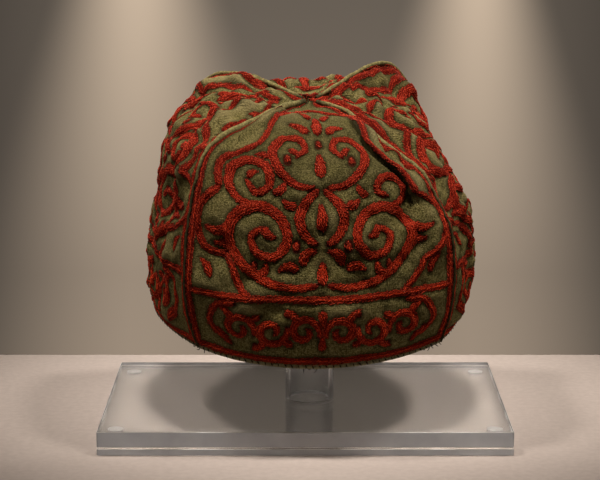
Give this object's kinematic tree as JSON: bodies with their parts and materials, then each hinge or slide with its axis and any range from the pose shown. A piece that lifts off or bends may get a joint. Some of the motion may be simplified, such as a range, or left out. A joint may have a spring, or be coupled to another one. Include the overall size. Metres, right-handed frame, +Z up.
{
  "type": "dervish cap on a clear acrylic display stand",
  "caption": "Domed cap of four embroidered cloth gores with welted seams and a bound hem, resting on a clear acrylic post and a base of two clear plates.",
  "frame": {"origin": "on the table, under the middle of the whole object's box", "axes": "+Z up, the front gore and the stand's long front edge towards -Y, +X to the viewer's right"},
  "size_m": [0.222, 0.1799, 0.2015],
  "materials": {
    "gore_cloth": "matt woven wool, olive green",
    "binding_cloth": "matt woven wool, dark olive",
    "red_thread": "twisted wool thread, chain stitched, madder red",
    "dark_thread": "linen sewing thread, nearly black",
    "clear_acrylic": "clear and polished"
  },
  "bodies": {
    "root": {"front_panel": "gore_cloth", "right_panel": "gore_cloth", "back_panel": "gore_cloth", "left_panel": "gore_cloth", "front_right_welt": "gore_cloth", "back_right_welt": "gore_cloth", "back_left_welt": "gore_cloth", "front_left_welt": "gore_cloth", "hem_binding": "binding_cloth", "crown_support": "clear_acrylic", "post": "clear_acrylic", "base_plate": "clear_acrylic", "lower_plate": "clear_acrylic", "front_left_pad": "clear_acrylic", "front_right_pad": "clear_acrylic", "back_left_pad": "clear_acrylic", "back_right_pad": "clear_acrylic"}
  },
  "joints": []
}
